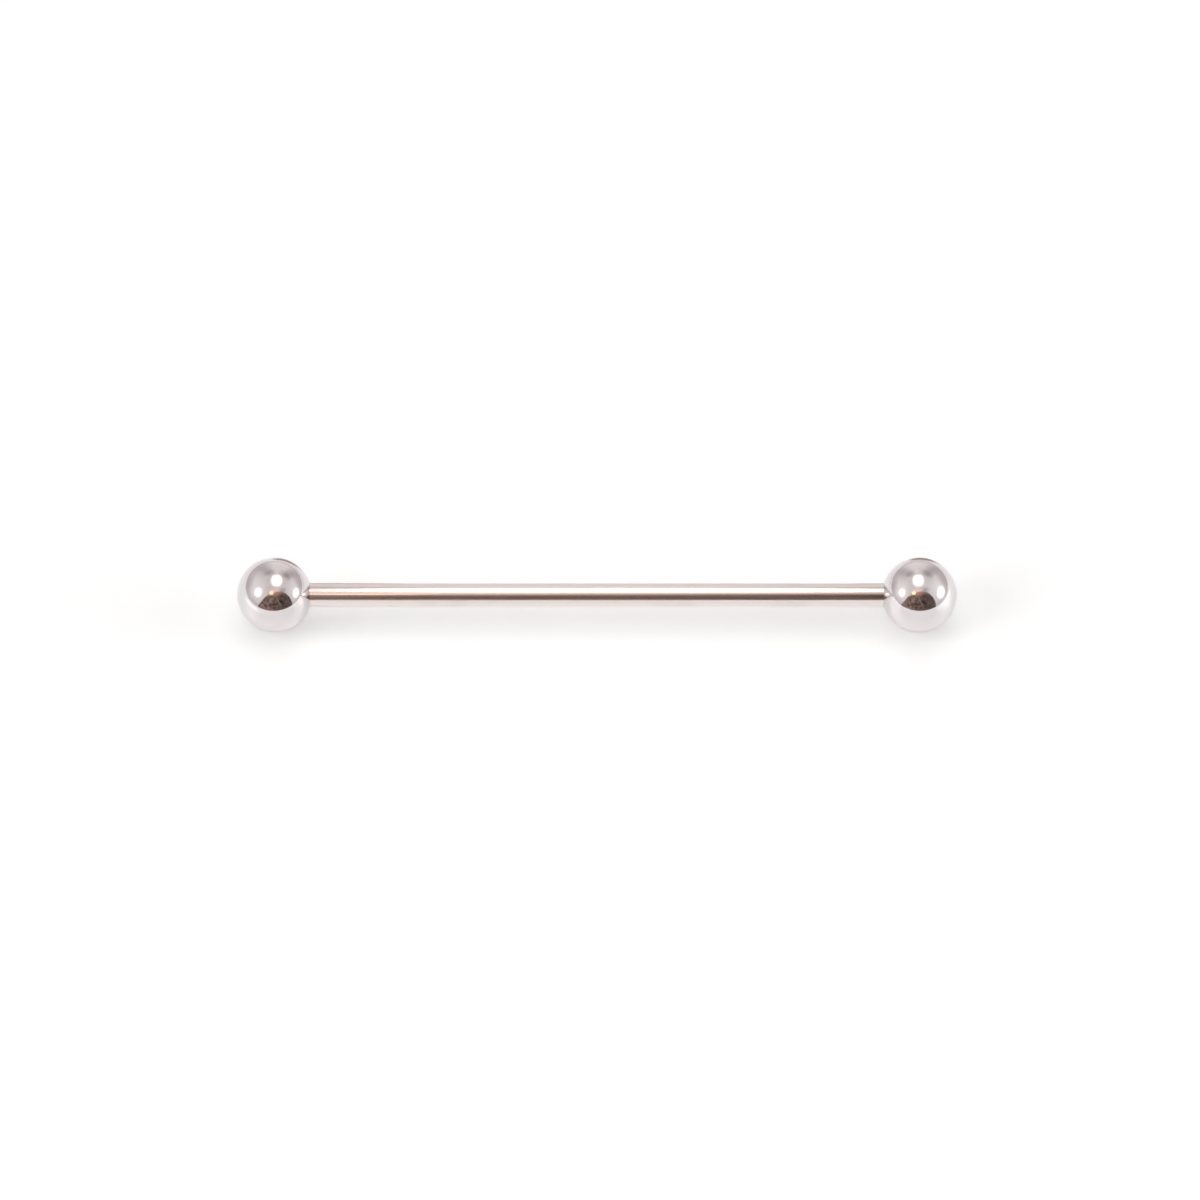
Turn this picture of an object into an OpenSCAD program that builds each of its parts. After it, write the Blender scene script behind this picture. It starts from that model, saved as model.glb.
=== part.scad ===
// Industrial barbell: a straight steel bar with a ball screwed on each end.
// The bar lies along X and rests on its two balls, and Z = 0 is the surface under them.
// Sizes are in millimetres.

/* [Bar] */
// Diameter of the bar
bar_d = 1.6; // [1.4:0.1:2.0]
// Length of the bar from shoulder to shoulder
bar_len = 38; // [28:1:50]
// Width of the chamfer round each shoulder
shoulder_chamfer = 0.04; // [0.02:0.01:0.08]

/* [Thread] */
// Diameter over the crests of the thread
thread_d = 1.2; // [1.0:0.05:1.25]
// Distance from one crest to the next
thread_pitch = 0.25; // [0.2:0.05:0.25]
// Number of crests on each stub
thread_turns = 9; // [5:1:9]
// Length of the plain neck between the shoulder and the first crest
neck_len = 0.25; // [0.15:0.05:0.3]

/* [Balls] */
// Diameter of each ball
ball_d = 5; // [4:0.5:6]
// How far the shoulder sits below the mouth of the ball
seat_depth = 0.07; // [0.04:0.01:0.15]
// Gap all round the bar where it enters the ball
seat_gap = 0.04; // [0.02:0.01:0.08]
// Gap between the crests and the wall of the hole
bore_gap = 0.03; // [0.01:0.01:0.05]
// Length of hole left past the tip of the stub
bore_spare = 0.35; // [0.2:0.05:0.4]

/* [Hidden] */

bar_r = bar_d / 2;
ball_r = ball_d / 2;

// A round thread is cut as deep as 0.61 of its pitch, with flats an eighth of a pitch wide
thread_r = thread_d / 2;
root_r = thread_r - 0.61 * thread_pitch;
flat_w = thread_pitch / 8;
flank_w = (thread_pitch - 2 * flat_w) / 2;
neck_r = root_r;
stub_len = neck_len + thread_turns * thread_pitch;

// Places along a ball's own axis, which has its zero at the ball's centre and points at the bar
seat_r = bar_r + seat_gap;
mouth_at = sqrt(ball_r * ball_r - seat_r * seat_r);
shoulder_at = mouth_at - seat_depth;
seat_floor_at = shoulder_at - seat_gap;
bore_r = thread_r + bore_gap;
countersink_r = (bore_r + bar_r) / 2;
countersink_len = countersink_r - bore_r;
bore_floor_at = shoulder_at - stub_len - bore_spare;
drill_tip_len = bore_r * tan(31);

ball_x = bar_len / 2 + shoulder_at;

// Extra length of a cutting tool where it leaves the metal
overcut = 0.5;

$fn = 96;

// Outline of one stub from the shoulder outwards, as [distance from the shoulder, radius]
function crest_outline(start) = [
    [start, root_r],
    [start + flank_w, thread_r],
    [start + flank_w + flat_w, thread_r],
    [start + 2 * flank_w + flat_w, root_r]
];

function stub_outline() = concat(
    [[0, neck_r]],
    [for (turn = [0 : thread_turns - 1]) each crest_outline(neck_len + turn * thread_pitch)],
    [[stub_len, root_r]]
);

// Half of the bar's outline, from its middle to the tip of one stub
function half_bar_outline() = concat(
    [[bar_len / 2 - shoulder_chamfer, bar_r]],
    [[bar_len / 2, bar_r - shoulder_chamfer]],
    [for (point = stub_outline()) [bar_len / 2 + point[0], point[1]]]
);

// Whole outline, with the left half as a mirror image of the right
function bar_outline() =
    let (right = half_bar_outline(), last = len(right) - 1)
    concat(
        [for (i = [0 : last]) [-right[last - i][0], right[last - i][1]]],
        right
    );

module bar() {
    outline = bar_outline();
    tip = bar_len / 2 + stub_len;
    color("silver")
        translate([0, 0, ball_r])
        rotate([0, 90, 0])
        rotate_extrude()
        polygon(concat(
            [[0, -tip]],
            [for (point = outline) [point[1], point[0]]],
            [[0, tip]]
        ));
}

// The hole of a ball, cut along +Z from the ball's centre
module ball_hole() {
    translate([0, 0, seat_floor_at])
        cylinder(r = seat_r, h = ball_r - seat_floor_at + overcut);
    translate([0, 0, seat_floor_at - countersink_len])
        cylinder(r1 = bore_r, r2 = countersink_r, h = countersink_len);
    translate([0, 0, bore_floor_at])
        cylinder(r = bore_r, h = seat_floor_at - bore_floor_at);
    translate([0, 0, bore_floor_at - drill_tip_len])
        cylinder(r1 = 0, r2 = bore_r, h = drill_tip_len);
}

// A ball at its own centre, with its hole facing +Z
module drilled_ball() {
    difference() {
        sphere(r = ball_r);
        ball_hole();
    }
}

module ball_left() {
    color("gainsboro")
        translate([-ball_x, 0, ball_r])
        rotate([0, 90, 0])
        drilled_ball();
}

module ball_right() {
    color("gainsboro")
        translate([ball_x, 0, ball_r])
        rotate([0, -90, 0])
        drilled_ball();
}

bar();
ball_left();
ball_right();
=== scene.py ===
"""Industrial barbell of polished steel: a straight bar with a ball screwed on each end.

The bar lies along X and rests on its two balls, with the table at Z = 0.
Shapes are made in millimetres round the bar's own axis, and are put in place in metres.
"""

import math

import bmesh
import bpy
from mathutils import Matrix, Vector


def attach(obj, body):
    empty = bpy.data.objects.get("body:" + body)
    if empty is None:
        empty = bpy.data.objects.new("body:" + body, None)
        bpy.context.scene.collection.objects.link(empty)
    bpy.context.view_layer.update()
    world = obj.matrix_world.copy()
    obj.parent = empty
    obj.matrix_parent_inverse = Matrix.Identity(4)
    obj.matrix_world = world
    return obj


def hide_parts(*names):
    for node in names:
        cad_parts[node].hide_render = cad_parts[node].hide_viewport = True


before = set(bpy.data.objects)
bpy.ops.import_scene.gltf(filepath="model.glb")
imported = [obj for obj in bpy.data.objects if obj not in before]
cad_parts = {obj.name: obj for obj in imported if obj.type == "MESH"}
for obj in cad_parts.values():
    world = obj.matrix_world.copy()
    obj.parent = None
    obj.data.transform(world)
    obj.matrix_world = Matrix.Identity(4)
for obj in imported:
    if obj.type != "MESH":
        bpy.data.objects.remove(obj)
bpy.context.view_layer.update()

# Real sizes in millimetres, as in the part's source
BAR_R = 0.8
BAR_HALF = 19.0
SHOULDER_ROUND = 0.04
BALL_R = 2.5
CREST_R = 0.6
ROOT_R = 0.4475
PITCH = 0.25
FLAT = PITCH / 8
NECK = 0.25
STUB = 2.5
SEAT_R = 0.84
MOUTH = 2.3547
SEAT_FLOOR = 2.2447
BORE_GAP = 0.03
COUNTERSINK_R = 0.715
COUNTERSINK = 0.085
BORE_FLOOR = 0.5653
BALL_X = 21.2847

# How far the thread's crests and roots depart from sharp flats
CREST_WEAR = 0.012
CREST_DROP = 0.016
CREST_CROWN = 0.001
ROOT_DIP = 0.004

# Inner radius of the shoulder's flat face, and the length of neck before the thread runs in
FACE_R = 0.55
PLAIN_NECK = NECK * 0.6
# Length of plain hole between the last turn of its thread and its floor
RUN_OUT = 0.2
# The worn lip of the ball's mouth, as an angle in degrees at the ball's centre and as a depth
LIP_ANGLE = 0.6
LIP_DEPTH = 0.02
SEAT_WEAR = 0.008
COUNTERSINK_LIP = 0.05
DRILL_ANGLE = math.radians(31)
# Where the polish goes over to a turned finish: at the shoulder, and below a ball's surface
SHOULDER_EDGE = 0.005
SKIN_START = 0.02
SKIN_END = 0.06

# Fineness of the meshes, and the angle from which an edge is shaded as sharp
SHAFT_STEPS = 144
SHOULDER_STEPS = 5
BALL_STEPS = 160
BALL_ARC_STEPS = 76
LIP_STEPS = 4
THREAD_STEPS = 64
STUDIO_STEPS = 96
SHARP_ANGLE = math.radians(32)

# How near points lie to a plane, to a radius or to each other to count as one, in millimetres
ON_PLANE = 1e-4
NEAR = 1e-3
WELD = 1e-5
CUT = 1e-6
# How much of the hole's width is left at the tip of the drill's cone
CONE_TIP = 1e-6
# How much of a face's normal lies along the axis where the face lies across it
ACROSS_AXIS = 0.9999

WHOLE_TURN = 2 * math.pi
MM = 0.001
DEGREES = 180 / math.pi

# Sizes of the studio in metres, and how brightly the tent shines
TENT_R = 0.20
TENT_LIFT = 0.0001
TABLE_R = 3.0
TENT_POWER = 0.95

# Each distant lamp's name, direction, power and spread in degrees
LAMPS = [
    ("key", (0, 15, 150), 1.08, 70),
    ("left lamp", (-120, -44, 79), 0.85, 34),
    ("right lamp", (139, -10, 56), 0.55, 34),
]

# The camera's distance and the width that it sees, in millimetres, and how steeply it looks down
CAMERA_DISTANCE = 450.0
SEEN_WIDTH = 79.25
CAMERA_RISE = math.radians(51)
SENSOR_WIDTH = 36
# It aims at a point this many pixels to the right of the bar's middle and below it
FRAME_PIXELS = 1200
AIM_RIGHT = 3.2
AIM_DOWN = 5.0

# Colours of the steel's two finishes, each where it is most and least smudged, and of turned steel
BAR_STEEL = (0.742, 0.68, 0.652, 1), (0.815, 0.755, 0.728, 1)
BALL_STEEL = (0.69, 0.655, 0.658, 1), (0.76, 0.725, 0.73, 1)
TURNED_STEEL = (0.42, 0.40, 0.38, 1)

# Colours of the tent, where 1 is white and more is brighter
FOLDS = (0.80, 0.745, 0.74, 1), (0.86, 0.82, 0.82, 1)
LOW_WALL = (0.50, 0.44, 0.45, 1)
OPENING_LEFT = (0.13, 0.082, 0.062, 1), (0.36, 0.262, 0.225, 1)
OPENING_RIGHT = (0.042, 0.027, 0.021, 1), (0.145, 0.105, 0.09, 1)
OPENING_TOP = (0.64, 0.35, 0.25, 1)
OPENING_SIDE = (0.21, 0.165, 0.145, 1)
STREAK = (0.42, 0.38, 0.36, 1)
TENT_HEM = (0.98, 0.95, 0.94, 1)
CEILING_HALO = (1.55, 1.38, 1.32, 1)
CEILING_LAMP = (9.0, 7.4, 6.7, 1)

# Colours of the table as it is, of its glow from below and its painted pools of light, of its
# painted shade that shows only in the steel's reflection, and of the room
TABLE_WHITE = (0.90, 0.895, 0.89, 1)
TABLE_GLOW_AND_PAINTED_POOL = (0.36, 0.36, 0.36, 1), (1.3, 1.3, 1.3, 1)
TABLE_PAINTED_SHADE = (0.30, 0.20, 0.20, 1)
TABLE_PAINTED_SHADE_GLOW = (0.10, 0.05, 0.055, 1)
ROOM_LIGHT = (0.15, 0.15, 0.15, 1)
ROOM_SHOWN = (0.93, 0.925, 0.92, 1)

# Soft patches on the tent's walls, from the lowest layer up. Each has the azimuth and elevation of
# its middle and its reach both ways in degrees, its colour, its share, and whether its azimuth is
# counted from behind the bar.
WALL_PATCHES = [
    ((0, 12), (40, 45), (0.98, 0.93, 0.93), 1.0, True),
    ((-34, 26), (26, 62), (0.56, 0.50, 0.505), 0.85, True),
    ((-31, 51), (30, 15), (0.40, 0.355, 0.365), 0.65, True),
    ((40, 24), (24, 62), (0.54, 0.48, 0.485), 0.9, True),
    ((42, 49), (34, 17), (0.37, 0.325, 0.335), 0.75, True),
    ((42, 58), (34, 13), (0.44, 0.40, 0.40), 0.8, False),
    ((0, 50), (15, 20), (1.05, 0.93, 0.89), 0.75, True),
    ((-78, 34), (52, 38), (1.12, 1.08, 1.07), 0.85, False),
    ((88, 27), (46, 40), (1.10, 1.06, 1.06), 0.85, False),
]
# The same for the darker sides, and for the two side lamps and the glow round the warm lamp
SIDE_PATCHES = [
    ((118, 12), (34, 26), (0.60, 0.53, 0.54), 0.85, False),
    ((-110, 9), (34, 24), (0.60, 0.53, 0.54), 0.85, False),
]
LAMP_PATCHES = [
    ((-70, 33), (18, 16), (3.4, 3.2, 3.1), 1.0, False),
    ((82, 19), (20.5, 15.5), (3.6, 3.4, 3.3), 1.0, False),
    ((-4, 53), (20, 12), (1.05, 0.46, 0.25), 0.22, False),
    ((-26, 51), (15, 8), (0.90, 0.42, 0.20), 0.9, False),
]


def arc(centre, radius, start, end, count):
    """Points on a circle in the outline's plane, from one angle to another, in degrees."""
    points = []
    for i in range(count + 1):
        a = math.radians(start + (end - start) * i / count)
        points.append((centre[0] + radius * math.cos(a), centre[1] + radius * math.sin(a)))
    return points


def softened(before, corner, after, count):
    """A corner of an outline worn round, from one point to another."""
    points = []
    for i in range(count + 1):
        t = i / count
        points.append(tuple(
            (1 - t) ** 2 * before[k] + 2 * t * (1 - t) * corner[k] + t * t * after[k]
            for k in (0, 1)
        ))
    return points


def thread_outline(start, end, gap=0.0):
    """The thread's zigzag from before one place along the axis to past another, with worn crests.

    Its crests lie where those of the bar's thread do, so a nut cut with a gap fits the bar."""
    flank = (PITCH - 2 * FLAT) / 2
    turn = [
        (0.0, ROOT_R), (FLAT * 0.5, ROOT_R - ROOT_DIP), (FLAT, ROOT_R),
        (FLAT + flank - CREST_WEAR, CREST_R - CREST_DROP),
        (FLAT + flank + CREST_WEAR * 0.4, CREST_R - CREST_CROWN),
        (FLAT + flank + FLAT - CREST_WEAR * 0.4, CREST_R - CREST_CROWN),
        (2 * FLAT + flank + CREST_WEAR, CREST_R - CREST_DROP),
    ]
    first = math.floor((start - BAR_HALF - NECK) / PITCH) - 2
    last = math.ceil((end - BAR_HALF - NECK) / PITCH) + 1
    points = []
    for k in range(first, last + 1):
        points += [(BAR_HALF + NECK + k * PITCH - FLAT + x, r + gap) for x, r in turn]
    return points


def chain(bm, points):
    """A line of edges through the points of an outline. Returns its vertices and edges."""
    verts = [bm.verts.new((x, 0, r)) for x, r in points]
    edges = [bm.edges.new(pair) for pair in zip(verts, verts[1:])]
    return verts + edges


def turned(bm, points, steps):
    """An outline turned once round the axis, as on a lathe."""
    bmesh.ops.spin(
        bm, geom=chain(bm, points), cent=(0, 0, 0), axis=(1, 0, 0), angle=WHOLE_TURN,
        steps=steps, use_merge=True,
    )


def open_ring(bm, x):
    """The open edges that lie in one plane across the axis."""
    return [
        e for e in bm.edges
        if e.is_boundary and all(abs(v.co.x - x) < ON_PLANE for v in e.verts)
    ]


def threaded(bm, start, end, limit, gap=0.0):
    """A helical thread between two planes.

    limit takes a point's place and radius, and returns the radius that the blank leaves it."""
    before = set(bm.verts)
    geom = chain(bm, thread_outline(start, end, gap))
    bmesh.ops.spin(
        bm, geom=geom, cent=(0, 0, 0), axis=(1, 0, 0), dvec=(PITCH / THREAD_STEPS, 0, 0),
        angle=WHOLE_TURN, steps=THREAD_STEPS, use_merge=False,
    )
    verts = [v for v in bm.verts if v not in before]
    bmesh.ops.remove_doubles(bm, verts=verts, dist=NEAR)
    verts = [v for v in bm.verts if v not in before]
    for v in verts:
        radius = math.hypot(v.co.y, v.co.z)
        scale = limit(v.co.x, radius) / radius
        v.co.y *= scale
        v.co.z *= scale
    for plane, keep in ((start, 1), (end, -1)):
        verts = [v for v in bm.verts if v not in before]
        edges = [e for e in bm.edges if e.verts[0] not in before]
        faces = [f for f in bm.faces if f.verts[0] not in before]
        bmesh.ops.bisect_plane(
            bm, geom=verts + edges + faces, dist=CUT, plane_co=(plane, 0, 0),
            plane_no=(keep, 0, 0), clear_inner=True,
        )


def drawn_out(bm, ring, x, scale=1.0):
    """A ring's edges extruded along the axis to x, and widened or narrowed by scale.

    Returns the edges of the new ring."""
    made = bmesh.ops.extrude_edge_only(bm, edges=ring)["geom"]
    verts = [g for g in made if isinstance(g, bmesh.types.BMVert)]
    for v in verts:
        v.co = (x, v.co.y * scale, v.co.z * scale)
    return [
        g for g in made
        if isinstance(g, bmesh.types.BMEdge) and all(v in verts for v in g.verts)
    ]


def finished(bm, name, body, material):
    """The mesh welded, shaded, and put on its body in place of the CAD node of the same name."""
    bmesh.ops.remove_doubles(bm, verts=bm.verts, dist=WELD)
    bmesh.ops.recalc_face_normals(bm, faces=bm.faces)
    for f in bm.faces:
        f.smooth = True
    for e in bm.edges:
        if len(e.link_faces) == 2:
            first, second = [abs(f.normal.x) > ACROSS_AXIS for f in e.link_faces]
            e.smooth = e.calc_face_angle() < SHARP_ANGLE and first == second
    place = Matrix.Translation((0, 0, BALL_R * MM)) @ Matrix.Scale(MM, 4)
    bmesh.ops.transform(bm, matrix=place, verts=bm.verts)
    mesh = bpy.data.meshes.new(name)
    bm.to_mesh(mesh)
    bm.free()
    mesh.materials.append(material)
    piece = bpy.data.objects.new(name, mesh)
    bpy.context.scene.collection.objects.link(piece)
    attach(piece, body)
    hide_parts(body)


def make_bar(material):
    """The shaft with its rounded shoulders, and a threaded stub with a bevelled tip on each end."""
    bm = bmesh.new()
    tip = BAR_HALF + STUB
    neck_end = BAR_HALF + PLAIN_NECK

    def blank(x, radius):
        return max(ROOT_R, min(radius, ROOT_R + (x - neck_end), ROOT_R + (tip - x)))

    threaded(bm, neck_end, tip, blank)
    bmesh.ops.contextual_create(bm, geom=open_ring(bm, tip))
    neck_ring = drawn_out(bm, open_ring(bm, neck_end), BAR_HALF)
    edge = BAR_HALF - SHOULDER_ROUND
    outline = [(0, BAR_R), (BAR_HALF * 0.5, BAR_R)]
    outline += arc((edge, BAR_R - SHOULDER_ROUND), SHOULDER_ROUND, 90, 0, SHOULDER_STEPS)
    outline += [(BAR_HALF, FACE_R)]
    turned(bm, outline, SHAFT_STEPS)
    face_ring = [
        e for e in open_ring(bm, BAR_HALF)
        if all(abs(math.hypot(v.co.y, v.co.z) - FACE_R) < NEAR for v in e.verts)
    ]
    bmesh.ops.bridge_loops(bm, edges=neck_ring + face_ring)
    other = bmesh.ops.duplicate(bm, geom=bm.verts[:] + bm.edges[:] + bm.faces[:])["geom"]
    bmesh.ops.rotate(
        bm, cent=(0, 0, 0), matrix=Matrix.Rotation(math.pi, 3, "Z"),
        verts=[g for g in other if isinstance(g, bmesh.types.BMVert)],
    )
    finished(bm, "polished_bar", "bar", material)


def make_ball(side, material):
    """A ball with its seat, countersink and tapped hole.

    It is made for the right end, and turned round for the left."""
    bm = bmesh.new()
    thread_start = BALL_X - SEAT_FLOOR + COUNTERSINK
    thread_end = BALL_X + BORE_FLOOR - RUN_OUT
    minor = ROOT_R + BORE_GAP
    major = CREST_R + BORE_GAP

    def hole(x, radius):
        entry = major - (x - thread_start)
        run_out = minor + (thread_end - x)
        return min(max(radius, entry, minor), max(run_out, minor), major)

    threaded(bm, thread_start, thread_end, hole, BORE_GAP)
    floor_x = BALL_X + BORE_FLOOR
    ring = drawn_out(bm, open_ring(bm, thread_end), floor_x)
    drawn_out(bm, ring, floor_x + minor * math.tan(DRILL_ANGLE), CONE_TIP)

    mouth_angle = 180 - math.degrees(math.asin(SEAT_R / BALL_R))
    outline = arc((BALL_X, 0), BALL_R, 0, mouth_angle - LIP_ANGLE, BALL_ARC_STEPS)
    wall = BALL_X - MOUTH
    lip_end = (wall + LIP_DEPTH, SEAT_R)
    outline += softened(outline[-1], (wall, SEAT_R), lip_end, LIP_STEPS)[1:]
    seat = BALL_X - SEAT_FLOOR
    outline += [(seat - SEAT_WEAR, SEAT_R), (seat, SEAT_R - SEAT_WEAR), (seat, COUNTERSINK_R)]
    outline += [(seat + COUNTERSINK_LIP, COUNTERSINK_R - COUNTERSINK_LIP)]
    turned(bm, outline, BALL_STEPS)
    bridge = open_ring(bm, thread_start) + open_ring(bm, seat + COUNTERSINK_LIP)
    bmesh.ops.bridge_loops(bm, edges=bridge)
    if side == "left":
        half_turn = Matrix.Rotation(math.pi, 3, "Z")
        bmesh.ops.rotate(bm, cent=(0, 0, 0), matrix=half_turn, verts=bm.verts)
    finished(bm, f"polished_ball_{side}", f"ball_{side}", material)


class Tone:
    """A socket's value on its way through a node tree; sums on it add Math nodes."""

    def __init__(self, tree, socket):
        self.tree = tree
        self.socket = socket

    def _sum(self, operation, first, second):
        return self.tree.add("ShaderNodeMath", {"operation": operation}, {0: first, 1: second})

    def __add__(self, other):
        return self._sum("ADD", self, other)

    def __radd__(self, other):
        return self._sum("ADD", other, self)

    def __sub__(self, other):
        return self._sum("SUBTRACT", self, other)

    def __rsub__(self, other):
        return self._sum("SUBTRACT", other, self)

    def __mul__(self, other):
        return self._sum("MULTIPLY", self, other)

    def __rmul__(self, other):
        return self._sum("MULTIPLY", other, self)

    def __truediv__(self, other):
        return self._sum("DIVIDE", self, other)

    def __rtruediv__(self, other):
        return self._sum("DIVIDE", other, self)

    def __pow__(self, other):
        return self._sum("POWER", self, other)

    def __abs__(self):
        return self._sum("ABSOLUTE", self, 0)


class Finish:
    """The node tree of a material, or of the room."""

    def __init__(self, owner):
        owner.use_nodes = True
        self.nodes = owner.node_tree.nodes
        self.links = owner.node_tree.links
        self.nodes.clear()

    def add(self, kind, settings=None, sockets=None, out=0):
        """Adds a node, sets it, then fills or links its sockets.

        Returns one output, or all by name with out=None, or nothing where the node has none."""
        node = self.nodes.new(kind)
        for key, value in (settings or {}).items():
            setattr(node, key, value)
        for key, value in (sockets or {}).items():
            socket = self.find(node.inputs, key)
            if isinstance(value, Tone):
                self.links.new(value.socket, socket)
            else:
                socket.default_value = value
        if not node.outputs:
            return None
        if out is None:
            return {s.name: Tone(self, s) for s in node.outputs}
        return Tone(self, self.find(node.outputs, out))

    @staticmethod
    def find(sockets, key):
        """A socket by its number, its identifier or its name."""
        if isinstance(key, int):
            return sockets[key]
        for s in sockets:
            if s.identifier == key:
                return s
        return sockets[key]

    def place(self):
        """The point on the object, in metres."""
        return self.add("ShaderNodeTexCoord", out="Object")

    def split(self, vector):
        """A vector's three numbers, by name."""
        return self.add("ShaderNodeSeparateXYZ", {}, {"Vector": vector}, out=None)

    def join(self, x, y, z):
        """Three numbers made one vector."""
        return self.add("ShaderNodeCombineXYZ", {}, {"X": x, "Y": y, "Z": z})

    def cloud(self, vector, scale, detail=3.0, rough=0.5, distortion=0.0):
        """Soft noise between 0 and 1."""
        return self.add("ShaderNodeTexNoise", {}, {
            "Vector": vector, "Scale": scale, "Detail": detail, "Roughness": rough,
            "Distortion": distortion,
        })

    def ease(self, value, low, high, start=0.0, end=1.0):
        """A smooth step from start to end while value goes from low to high."""
        return self.add("ShaderNodeMapRange", {"interpolation_type": "SMOOTHSTEP"}, {
            "Value": value, "From Min": low, "From Max": high, "To Min": start, "To Max": end,
        })

    def blend(self, share, first, second):
        """One colour going over to another."""
        return self.add("ShaderNodeMix", {"data_type": "RGBA"}, {
            "Factor_Float": share, "A_Color": first, "B_Color": second,
        }, out="Result_Color")

    def stretch(self, vector, scale, turn=(0, 0, 0)):
        """The vector turned, then drawn out along the axes whose scale is small."""
        return self.add("ShaderNodeMapping", {}, {
            "Vector": vector, "Scale": scale, "Rotation": turn,
        })

    def scratches(self, vector, turn, stretch, scale, width):
        """Fine straight scratches that all run one way, each with its own depth."""
        along = self.stretch(vector, stretch, turn)
        cell = self.add("ShaderNodeTexVoronoi", {"feature": "DISTANCE_TO_EDGE"}, {
            "Vector": along, "Scale": scale,
        })
        line = self.ease(cell, 0.0, width, 1.0, 0.0)
        patch = self.ease(self.cloud(vector, 420.0, detail=2.0), 0.48, 0.66)
        return line * patch


def steel(name, smudged, clean, lengthwise):
    """Polished surgical steel with faint smudges, polishing lines and hairline scratches.

    Its lines run along the bar if lengthwise, and every way if not."""
    material = bpy.data.materials.new(name)
    f = Finish(material)
    p = f.place()
    xyz = f.split(p)
    smudge = f.cloud(p, 260.0, detail=4.0, rough=0.55, distortion=0.6)
    haze = f.ease(smudge, 0.45, 0.75)
    if lengthwise:
        lines = f.cloud(f.stretch(p, (0.06, 1, 1)), 9000.0, detail=2.0)
        waves = f.cloud(f.stretch(p, (0.35, 1, 1)), 900.0, detail=2.0)
        hairs = f.scratches(p, (0, 0, 0.02), (0.02, 1, 1), 2600.0, 0.05)
        nicks = f.cloud(f.stretch(p, (0.5, 1, 1)), 1900.0, detail=1.0)
        nicks = f.ease(nicks, 0.74, 0.80)
        turned_part = f.ease(
            abs(xyz["X"]), (BAR_HALF - SHOULDER_EDGE) * MM, (BAR_HALF + SHOULDER_EDGE) * MM,
        )
        polish = f.ease(xyz["X"], -0.003, 0.013, 0.21, 0.165)
        haze_share, wave_depth = 0.08, 0.26
    else:
        lines = f.cloud(p, 7000.0, detail=2.0)
        waves = f.cloud(p, 500.0, detail=1.0)
        hairs = (
            f.scratches(p, (0.5, 0.9, 0.2), (0.04, 1, 1), 2100.0, 0.04)
            + f.scratches(p, (1.9, -0.4, 1.1), (0.04, 1, 1), 2500.0, 0.04)
        )
        nicks = f.ease(f.cloud(p, 2300.0, detail=1.0), 0.78, 0.83)
        outward = f.add("ShaderNodeVectorMath", {"operation": "LENGTH"}, {
            0: f.join(abs(xyz["X"]) - BALL_X * MM, xyz["Y"], xyz["Z"] - BALL_R * MM),
        }, out="Value")
        turned_part = f.ease(outward, (BALL_R - SKIN_START) * MM, (BALL_R - SKIN_END) * MM)
        polish = 0.03
        haze_share, wave_depth = 0.03, 0.18
    tool_marks = f.cloud(f.stretch(p, (1, 0.05, 0.05)), 22000.0, detail=2.0)
    marks = lines * 0.35 + hairs * 0.5 - nicks * 0.4
    relief = marks * (1 - turned_part) + tool_marks * turned_part * 2.0
    fine = f.add("ShaderNodeBump", {}, {
        "Height": relief, "Strength": 0.10, "Distance": 0.00001,
    }, out="Normal")
    soft = f.add("ShaderNodeBump", {}, {
        "Height": waves, "Strength": wave_depth, "Distance": 0.00002, "Normal": fine,
    }, out="Normal")
    colour = f.blend(haze * 0.7, clean, smudged)
    colour = f.blend(turned_part * 0.5, colour, TURNED_STEEL)
    rough = polish + haze * haze_share + hairs * 0.05 + nicks * 0.06 + turned_part * 0.16
    shader = f.add("ShaderNodeBsdfPrincipled", {}, {
        "Base Color": colour, "Metallic": 1.0, "Roughness": rough, "Normal": soft,
    })
    f.add("ShaderNodeOutputMaterial", {}, {"Surface": shader})
    return material


def place_mesh(bm, name, material):
    """A mesh that belongs to the studio and not to the barbell."""
    mesh = bpy.data.meshes.new(name)
    bm.to_mesh(mesh)
    bm.free()
    mesh.materials.append(material)
    thing = bpy.data.objects.new(name, mesh)
    bpy.context.scene.collection.objects.link(thing)
    return thing


def oval(f, u, v, centre, reach, turn=0.0, power=2.0):
    """0 at the middle of an oval patch, 1 on its rim and more outside it.

    It is turned by some degrees, and a higher power makes it squarer."""
    c, s = math.cos(math.radians(turn)), math.sin(math.radians(turn))
    du, dv = u - centre[0], v - centre[1]
    along = abs(du * c + dv * s) / reach[0] if turn else abs(du) / reach[0]
    across = abs(dv * c - du * s) / reach[1] if turn else abs(dv) / reach[1]
    return (along ** power + across ** power) ** (1 / power)


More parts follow.
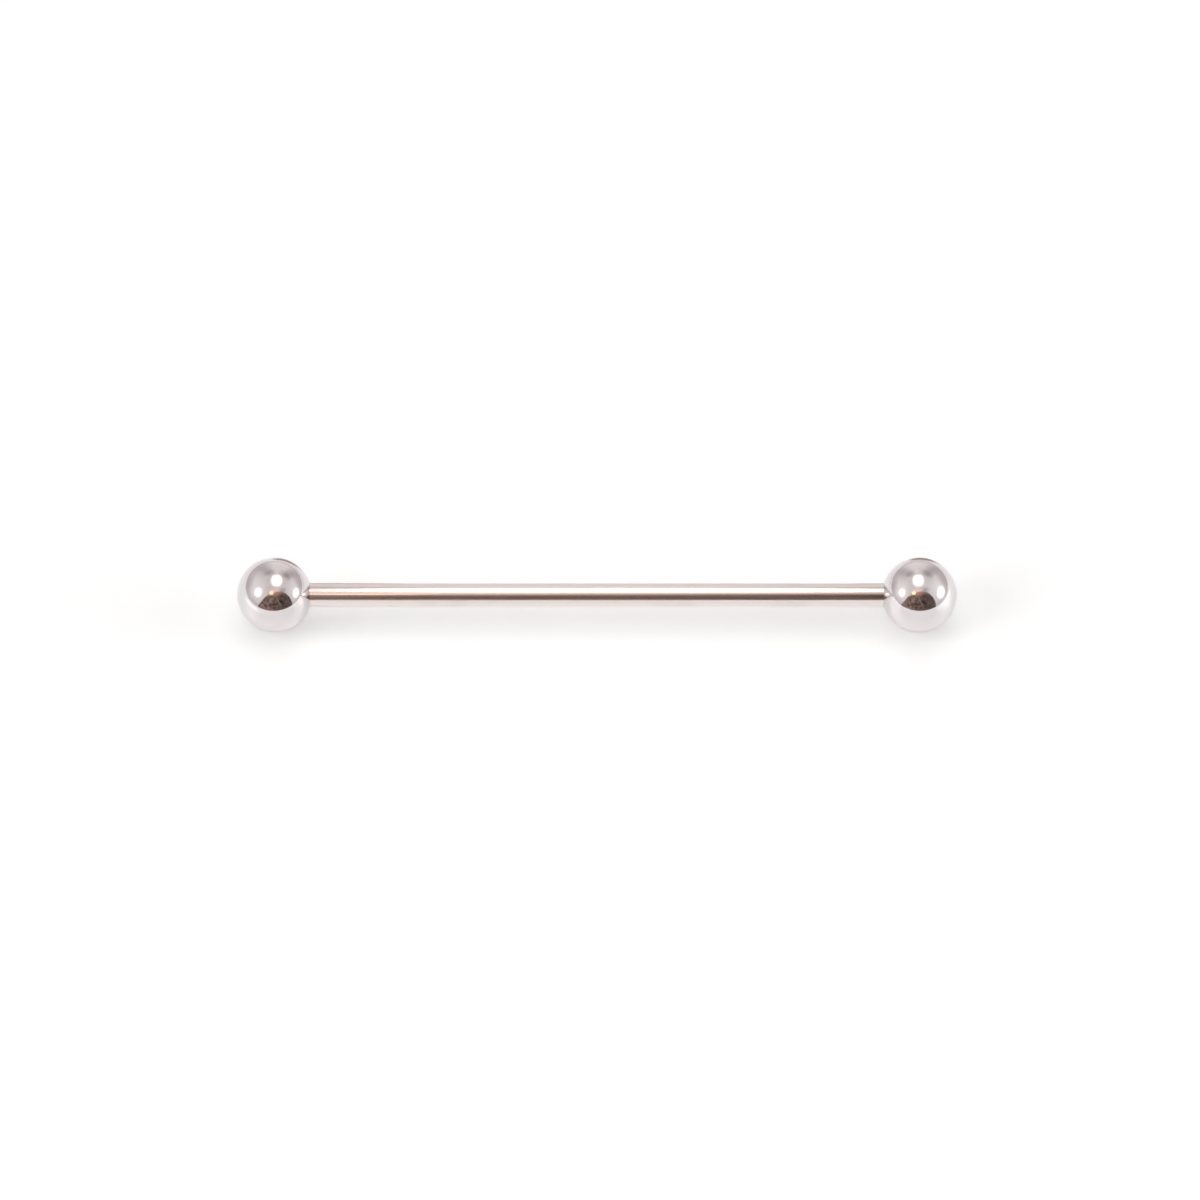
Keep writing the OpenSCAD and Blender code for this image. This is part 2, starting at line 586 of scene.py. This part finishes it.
def tent_finish():
    """The inside of a light tent, by azimuth and elevation from the middle of the bar in degrees.

    Azimuth 0 is the side that the camera looks in from, and positive angles go to the right."""
    material = bpy.data.materials.new("light_tent")
    f = Finish(material)
    spot = f.add("ShaderNodeVectorMath", {"operation": "SUBTRACT"}, {
        0: f.place(), 1: (0, 0, BALL_R * MM),
    })
    way = f.add("ShaderNodeVectorMath", {"operation": "NORMALIZE"}, {0: spot})
    d = f.split(way)
    front = f.add("ShaderNodeMath", {"operation": "ARCTAN2"}, {0: d["X"], 1: 0 - d["Y"]})
    azimuth = front * DEGREES
    behind = f.add("ShaderNodeMath", {"operation": "ARCTAN2"}, {0: d["X"], 1: d["Y"]}) * DEGREES
    rise = f.add("ShaderNodeMath", {"operation": "ARCSINE"}, {0: d["Z"]}) * DEGREES
    folds = f.cloud(way, 2.6, rough=0.6, distortion=0.4)

    def glow(level, centre, reach, colour, share=1.0, from_behind=False, edge=1.0, turn=0.0):
        """Lays a soft patch of colour over the tent, which fades over edge of its reach."""
        far = oval(f, behind if from_behind else azimuth, rise, centre, reach, turn)
        return f.blend(f.ease(far, 1.0, 1.0 - edge, 0.0, share), level, (*colour, 1))

    tone = f.blend(f.ease(folds, 0.35, 0.65), *FOLDS)
    for patch in WALL_PATCHES:
        tone = glow(tone, *patch)
    tone = f.blend(f.ease(rise, 14.0, 6.0, 0.0, 0.35), tone, LOW_WALL)
    for patch in SIDE_PATCHES:
        tone = glow(tone, *patch)

    mottle = f.ease(f.cloud(way, 6.0, detail=5.0, rough=0.66), 0.38, 0.62)
    shade = f.ease(azimuth, -24.0, 22.0)
    dark = f.blend(shade, f.blend(mottle, *OPENING_LEFT), f.blend(mottle, *OPENING_RIGHT))
    dark = f.blend(f.ease(rise, 42.0, 60.0, 0.0, 0.85), dark, OPENING_TOP)
    dark = f.blend(f.ease(azimuth, 18.0, 40.0, 0.0, 0.35), dark, OPENING_SIDE)
    streak = abs(azimuth - 3 - (44 - rise) * 0.45) / 3.5
    streak = f.ease(streak, 1.0, 0.0, 0.0, 0.5) * f.ease(rise, 12, 26)
    dark = f.blend(streak, dark, STREAK)
    ragged = (f.cloud(way, 7.0) - 0.5) * 0.10
    opening = oval(f, azimuth - rise * 0.15, rise, (0.5, 0), (51.5, 61), power=2.8) + ragged
    tone = glow(tone, (-4, 64), (40, 11), (1.20, 0.84, 0.70), 0.9)
    tone = f.blend(f.ease(opening, 1.02, 0.95), tone, dark)
    tone = f.blend(f.ease(rise, 3.2, 0.6), tone, TENT_HEM)

    for patch in LAMP_PATCHES:
        tone = glow(tone, *patch)
    tone = glow(tone, (-22.5, 55.5), (14.5, 7.6), (2.0, 1.45, 0.97), edge=0.55, turn=6)
    ceiling = oval(
        f, d["X"] / d["Z"], d["Y"] / d["Z"], (0.035, 0.125), (0.285, 0.368), power=2.5,
    )
    overhead = f.ease(rise, 40, 50)
    tone = f.blend(f.ease(ceiling, 1.22, 0.80) * overhead, tone, CEILING_HALO)
    tone = f.blend(f.ease(ceiling, 0.82, 0.58) * overhead, tone, CEILING_LAMP)
    light = f.add("ShaderNodeBsdfPrincipled", {}, {
        "Base Color": (0, 0, 0, 1), "Roughness": 1.0, "Specular IOR Level": 0.0,
        "Emission Color": tone, "Emission Strength": TENT_POWER,
    })
    f.add("ShaderNodeOutputMaterial", {}, {"Surface": light})
    return material


def make_tent():
    """A dome that shows only as a reflection in the steel."""
    bm = bmesh.new()
    bmesh.ops.create_uvsphere(
        bm, u_segments=STUDIO_STEPS, v_segments=STUDIO_STEPS // 2, radius=TENT_R,
    )
    bmesh.ops.translate(bm, vec=(0, 0, BALL_R * MM), verts=bm.verts)
    bmesh.ops.bisect_plane(
        bm, geom=bm.verts[:] + bm.edges[:] + bm.faces[:], plane_co=(0, 0, TENT_LIFT),
        plane_no=(0, 0, 1), clear_inner=True,
    )
    tent = place_mesh(bm, "light_tent", tent_finish())
    tent.visible_camera = False
    tent.visible_diffuse = False
    tent.visible_transmission = False
    tent.visible_volume_scatter = False
    tent.visible_shadow = False


def make_table():
    """A plain pale table of white plastic that is lit from below as well, with painted pools of
    light on it.

    It has painted shade in a few places, which shows only in the steel's reflection, as fine dark
    lines on the balls."""
    material = bpy.data.materials.new("white_table")
    f = Finish(material)
    xyz = f.split(f.place())
    x, y = xyz["X"], xyz["Y"]

    def patch(across, centre, reach, rim, core, level=1.0):
        """A soft place on the table, from nothing at its rim to level at its core."""
        return f.ease(oval(f, across, y, centre, reach), rim, core, 0.0, level)

    # Painted pools of light on the table beside the balls, and a painted brightening towards the
    # front, laid over the table's even glow
    painted_light_pool = patch(x, (-0.050, -0.013), (0.026, 0.018), 1.0, 0.0)
    painted_light_pool = painted_light_pool + patch(x, (0.060, -0.004), (0.034, 0.026), 1.0, 0.0)
    painted_light_pool = painted_light_pool * 0.5 + f.ease(y, -0.005, -0.022, 0.0, 0.10)
    level = f.blend(painted_light_pool, *TABLE_GLOW_AND_PAINTED_POOL)
    # Painted shade on the table behind each ball, which shows only in the steel's reflection as a
    # dark line at the balls' top rims
    behind = patch(abs(x - 0.00245), (0.02055, 0.0250), (0.0051, 0.0172), 1.15, 0.75)
    # Painted shade in wide patches on the table far behind the bar, which shows only in the steel's
    # reflection
    far = patch(x, (0.0, 0.115), (0.140, 0.105), 1.05, 0.85, 0.16)
    far = far + patch(x, (0.022, 0.150), (0.044, 0.115), 1.05, 0.75, 0.55)
    painted_contact_shadow = patch(abs(x), (BALL_X * MM, 0.0), (0.0026, 0.0026), 1.0, 0.6, 0.16)
    # How strong the painted shade is at each place; it shows only to rays that the steel reflects
    share = f.add("ShaderNodeMath", {"operation": "MAXIMUM"}, {0: behind, 1: far + painted_contact_shadow})
    painted_shade_in_steel = f.add("ShaderNodeLightPath", out=None)["Is Glossy Ray"] * share
    shader = f.add("ShaderNodeBsdfPrincipled", {}, {
        "Base Color": f.blend(painted_shade_in_steel, TABLE_WHITE, TABLE_PAINTED_SHADE),
        "Roughness": 0.3, "Specular IOR Level": 0.5,
        "Emission Color": f.blend(painted_shade_in_steel, level, TABLE_PAINTED_SHADE_GLOW),
        "Emission Strength": 1.0,
    })
    f.add("ShaderNodeOutputMaterial", {}, {"Surface": shader})
    bm = bmesh.new()
    bmesh.ops.create_circle(bm, cap_ends=True, segments=STUDIO_STEPS, radius=TABLE_R)
    place_mesh(bm, "table", material)


def make_room():
    """The pale room round the table, which gives less light than it shows."""
    world = bpy.data.worlds.new("room")
    bpy.context.scene.world = world
    f = Finish(world)
    light = f.add("ShaderNodeLightPath", out=None)
    shown = f.add("ShaderNodeMath", {"operation": "MAXIMUM"}, {
        0: light["Is Camera Ray"], 1: light["Is Glossy Ray"],
    })
    seen = f.blend(shown, ROOM_LIGHT, ROOM_SHOWN)
    back = f.add("ShaderNodeBackground", {}, {"Color": seen, "Strength": 1.0})
    f.add("ShaderNodeOutputWorld", {}, {"Surface": back})


def make_lamp(name, direction, power, spread):
    """A distant lamp that lights the table, and doesn't show in the steel by itself."""
    data = bpy.data.lights.new(name, "SUN")
    data.energy = power
    data.angle = math.radians(spread)
    lamp = bpy.data.objects.new(name, data)
    bpy.context.scene.collection.objects.link(lamp)
    spot = Vector(direction) * MM
    facing = spot.to_track_quat("Z", "Y").to_matrix().to_4x4()
    lamp.matrix_world = Matrix.Translation(spot) @ facing
    lamp.visible_glossy = False
    lamp.visible_camera = False


def make_camera():
    """A long lens that looks down at the table at the photograph's angle."""
    data = bpy.data.cameras.new("camera")
    data.sensor_width = SENSOR_WIDTH
    data.lens = SENSOR_WIDTH * CAMERA_DISTANCE / SEEN_WIDTH
    data.clip_start = 0.01
    data.clip_end = 20
    camera = bpy.data.objects.new("camera", data)
    bpy.context.scene.collection.objects.link(camera)
    back = Vector((0, -math.cos(CAMERA_RISE), math.sin(CAMERA_RISE)))
    upward = Vector((0, math.sin(CAMERA_RISE), math.cos(CAMERA_RISE)))
    per_pixel = SEEN_WIDTH / FRAME_PIXELS
    target = Vector((AIM_RIGHT * per_pixel, 0, BALL_R)) - upward * AIM_DOWN * per_pixel
    camera.matrix_world = (
        Matrix.Translation((target + back * CAMERA_DISTANCE) * MM)
        @ back.to_track_quat("Z", "Y").to_matrix().to_4x4()
    )
    bpy.context.scene.camera = camera


bpy.context.scene.view_settings.view_transform = "Standard"

bar_finish = steel("bar_steel", *BAR_STEEL, lengthwise=True)
ball_finish = steel("ball_steel", *BALL_STEEL, lengthwise=False)
make_bar(bar_finish)
for side in ("left", "right"):
    make_ball(side, ball_finish)

make_table()
make_room()
make_tent()
for lamp in LAMPS:
    make_lamp(*lamp)
make_camera()
